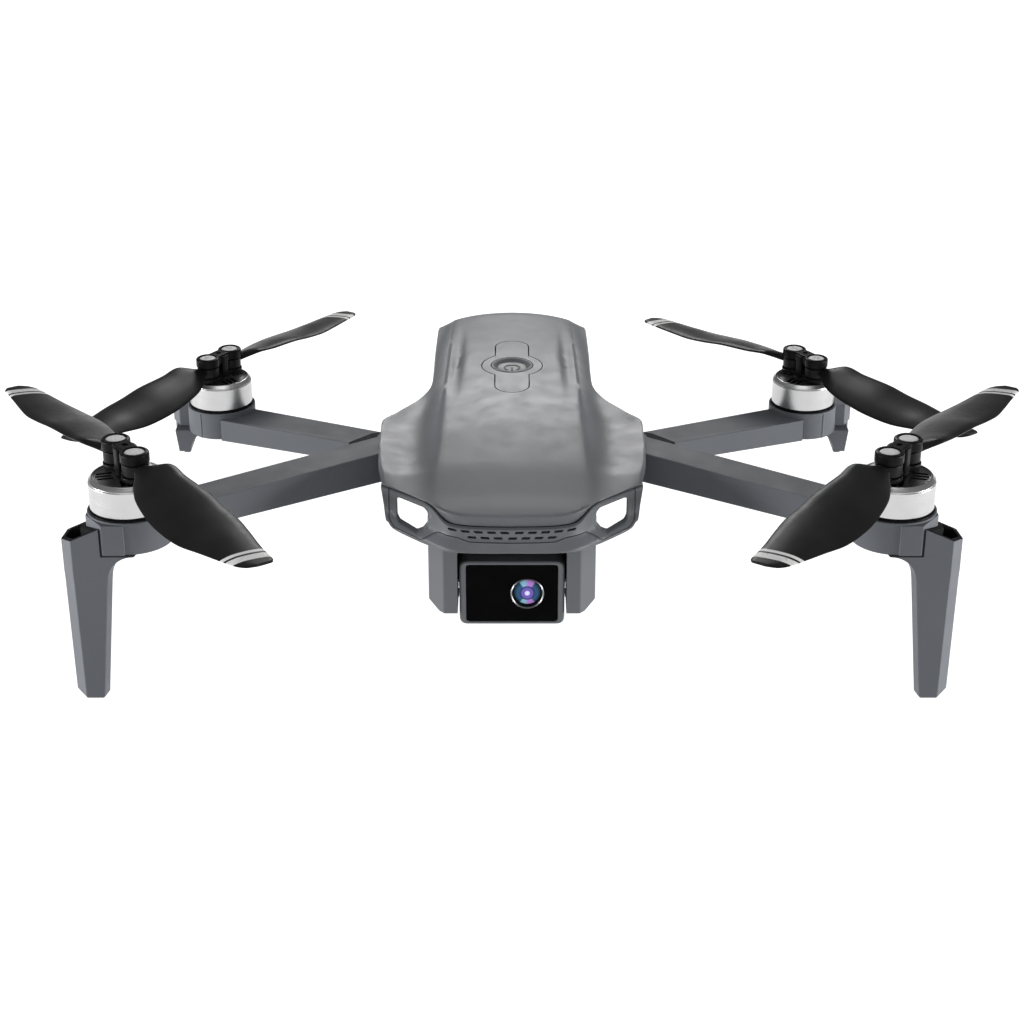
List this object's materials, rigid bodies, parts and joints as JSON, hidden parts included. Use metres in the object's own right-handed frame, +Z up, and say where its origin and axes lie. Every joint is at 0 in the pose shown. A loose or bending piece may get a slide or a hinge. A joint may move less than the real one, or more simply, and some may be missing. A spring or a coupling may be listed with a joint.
{
  "type": "folding camera quadcopter",
  "caption": "Folding camera drone: arms that swing along a tapered grey body, motors with hinged propeller blades, standing legs and a tilting nose camera.",
  "frame": {"origin": "middle of the outline on the ground plane, with the propellers open", "axes": "+Z up, nose towards -Y, +X to the right when the nose faces the viewer"},
  "size_m": [0.3076, 0.2888, 0.073],
  "materials": {
    "shell_grey": "fine satin, mid grey",
    "trim_grey": "fine satin, darker blue grey",
    "arm_grey": "fine satin, blue grey",
    "hub_black": "satin black",
    "blade_black": "satin black with white tip bands",
    "bell_silver": "fine turned satin",
    "steel": "plated",
    "stator_copper": "black base with copper windings",
    "glass_black": "polished black window",
    "lens_blue": "coated lens",
    "board_green": "printed circuit board",
    "battery_black": "satin black pack"
  },
  "bodies": {
    "airframe": {"upper_shell": "shell_grey", "lower_shell": "trim_grey", "front_bumper": "trim_grey", "vent_bezel": "trim_grey", "top_plate": "shell_grey", "main_board": "board_green", "gps_module": "board_green", "front_left_hinge_pin": "steel", "front_right_hinge_pin": "steel", "rear_left_hinge_pin": "steel", "rear_right_hinge_pin": "steel"},
    "camera": {"camera_housing": "trim_grey", "camera_window": "glass_black", "lens_ring": "bell_silver", "lens_glass": "lens_blue", "camera_axle": "steel"},
    "power_button": {"power_button": "shell_grey"},
    "battery": {"battery_pack": "battery_black"},
    "latch_left": {"battery_latch_left": "hub_black"},
    "latch_right": {"battery_latch_right": "hub_black"},
    "rear_left_arm": {"rear_left_arm": "arm_grey", "rear_left_foot": "arm_grey", "rear_left_motor_stator": "stator_copper"},
    "rear_left_rotor": {"rear_left_motor_bell": "bell_silver", "rear_left_prop_hub": "hub_black", "rear_left_pivot_screw_a": "steel", "rear_left_pivot_screw_b": "steel"},
    "rear_left_blade_a": {"rear_left_blade_a": "blade_black"},
    "rear_left_blade_b": {"rear_left_blade_b": "blade_black"},
    "front_left_arm": {"front_left_arm": "arm_grey", "front_left_leg": "arm_grey", "front_left_motor_stator": "stator_copper"},
    "front_left_rotor": {"front_left_motor_bell": "bell_silver", "front_left_prop_hub": "hub_black", "front_left_pivot_screw_a": "steel", "front_left_pivot_screw_b": "steel"},
    "front_left_blade_a": {"front_left_blade_a": "blade_black"},
    "front_left_blade_b": {"front_left_blade_b": "blade_black"},
    "rear_right_arm": {"rear_right_arm": "arm_grey", "rear_right_foot": "arm_grey", "rear_right_motor_stator": "stator_copper"},
    "rear_right_rotor": {"rear_right_motor_bell": "bell_silver", "rear_right_prop_hub": "hub_black", "rear_right_pivot_screw_a": "steel", "rear_right_pivot_screw_b": "steel"},
    "rear_right_blade_a": {"rear_right_blade_a": "blade_black"},
    "rear_right_blade_b": {"rear_right_blade_b": "blade_black"},
    "front_right_arm": {"front_right_arm": "arm_grey", "front_right_leg": "arm_grey", "front_right_motor_stator": "stator_copper"},
    "front_right_rotor": {"front_right_motor_bell": "bell_silver", "front_right_prop_hub": "hub_black", "front_right_pivot_screw_a": "steel", "front_right_pivot_screw_b": "steel"},
    "front_right_blade_a": {"front_right_blade_a": "blade_black"},
    "front_right_blade_b": {"front_right_blade_b": "blade_black"}
  },
  "joints": [
    {"name": "camera_tilt", "type": "hinge", "parent": "airframe", "child": "camera", "pos_m": [0, -0.06836, 0.02445], "axis": [1, 0, 0], "range_deg": [-10, 90]},
    {"name": "power_button_press", "type": "slide", "parent": "airframe", "child": "power_button", "axis": [0, 0, -1], "range_m": [0, 0.0008], "stiffness_N_per_m": 300},
    {"name": "battery_slide", "type": "slide", "parent": "airframe", "child": "battery", "axis": [0, 1, 0], "range_m": [0, 0.075]},
    {"name": "battery_latch_left_press", "type": "slide", "parent": "battery", "child": "latch_left", "axis": [1, 0, 0], "range_m": [0, 0.001], "stiffness_N_per_m": 300},
    {"name": "battery_latch_right_press", "type": "slide", "parent": "battery", "child": "latch_right", "axis": [-1, 0, 0], "range_m": [0, 0.001], "stiffness_N_per_m": 300},
    {"name": "rear_left_arm_fold", "type": "hinge", "parent": "airframe", "child": "rear_left_arm", "pos_m": [-0.027, 0.04264, 0.015], "axis": [0, 0, -1], "range_deg": [-102.7, 0]},
    {"name": "rear_left_motor_spin", "type": "hinge", "parent": "rear_left_arm", "child": "rear_left_rotor", "pos_m": [-0.1038, 0.07944, 0.0273], "axis": [0, 0, 1], "continuous": true},
    {"name": "rear_left_blade_a_fold", "type": "hinge", "parent": "rear_left_rotor", "child": "rear_left_blade_a", "pos_m": [-0.10062, 0.08441, 0.03615], "axis": [0, 0, 1], "range_deg": [-52.01, 0]},
    {"name": "rear_left_blade_b_fold", "type": "hinge", "parent": "rear_left_rotor", "child": "rear_left_blade_b", "pos_m": [-0.10698, 0.07447, 0.03615], "axis": [0, 0, -1], "range_deg": [-114.01, 0]},
    {"name": "front_left_arm_fold", "type": "hinge", "parent": "airframe", "child": "front_left_arm", "pos_m": [-0.033, -0.02336, 0.046], "axis": [0, 0, 1], "range_deg": [-124.1, 0]},
    {"name": "front_left_motor_spin", "type": "hinge", "parent": "front_left_arm", "child": "front_left_rotor", "pos_m": [-0.1069, -0.08136, 0.0592], "axis": [0, 0, -1], "continuous": true},
    {"name": "front_left_blade_a_fold", "type": "hinge", "parent": "front_left_rotor", "child": "front_left_blade_a", "pos_m": [-0.11032, -0.07655, 0.06805], "axis": [0, 0, 1], "range_deg": [-80, 0]},
    {"name": "front_left_blade_b_fold", "type": "hinge", "parent": "front_left_rotor", "child": "front_left_blade_b", "pos_m": [-0.10348, -0.08617, 0.06805], "axis": [0, 0, -1], "range_deg": [-80, 0]},
    {"name": "rear_right_arm_fold", "type": "hinge", "parent": "airframe", "child": "rear_right_arm", "pos_m": [0.027, 0.04264, 0.015], "axis": [0, 0, 1], "range_deg": [-102.7, 0]},
    {"name": "rear_right_motor_spin", "type": "hinge", "parent": "rear_right_arm", "child": "rear_right_rotor", "pos_m": [0.1038, 0.07944, 0.0273], "axis": [0, 0, -1], "continuous": true},
    {"name": "rear_right_blade_a_fold", "type": "hinge", "parent": "rear_right_rotor", "child": "rear_right_blade_a", "pos_m": [0.10062, 0.08441, 0.03615], "axis": [0, 0, -1], "range_deg": [-41.51, 0]},
    {"name": "rear_right_blade_b_fold", "type": "hinge", "parent": "rear_right_rotor", "child": "rear_right_blade_b", "pos_m": [0.10698, 0.07447, 0.03615], "axis": [0, 0, 1], "range_deg": [-122.01, 0]},
    {"name": "front_right_arm_fold", "type": "hinge", "parent": "airframe", "child": "front_right_arm", "pos_m": [0.033, -0.02336, 0.046], "axis": [0, 0, -1], "range_deg": [-124.1, 0]},
    {"name": "front_right_motor_spin", "type": "hinge", "parent": "front_right_arm", "child": "front_right_rotor", "pos_m": [0.1069, -0.08136, 0.0592], "axis": [0, 0, 1], "continuous": true},
    {"name": "front_right_blade_a_fold", "type": "hinge", "parent": "front_right_rotor", "child": "front_right_blade_a", "pos_m": [0.11032, -0.07655, 0.06805], "axis": [0, 0, -1], "range_deg": [-80, 0]},
    {"name": "front_right_blade_b_fold", "type": "hinge", "parent": "front_right_rotor", "child": "front_right_blade_b", "pos_m": [0.10348, -0.08617, 0.06805], "axis": [0, 0, 1], "range_deg": [-80, 0]}
  ],
  "couplings": [
    {"joint": "rear_left_blade_a_fold", "follows": "rear_left_arm_fold", "ratio": 0.50633},
    {"joint": "rear_left_blade_b_fold", "follows": "rear_left_arm_fold", "ratio": 1.11},
    {"joint": "front_left_arm_fold", "follows": "rear_left_arm_fold", "ratio": 1.2084},
    {"joint": "rear_right_blade_a_fold", "follows": "rear_right_arm_fold", "ratio": 0.40409},
    {"joint": "rear_right_blade_b_fold", "follows": "rear_right_arm_fold", "ratio": 1.1879},
    {"joint": "front_right_arm_fold", "follows": "rear_right_arm_fold", "ratio": 1.2084}
  ]
}
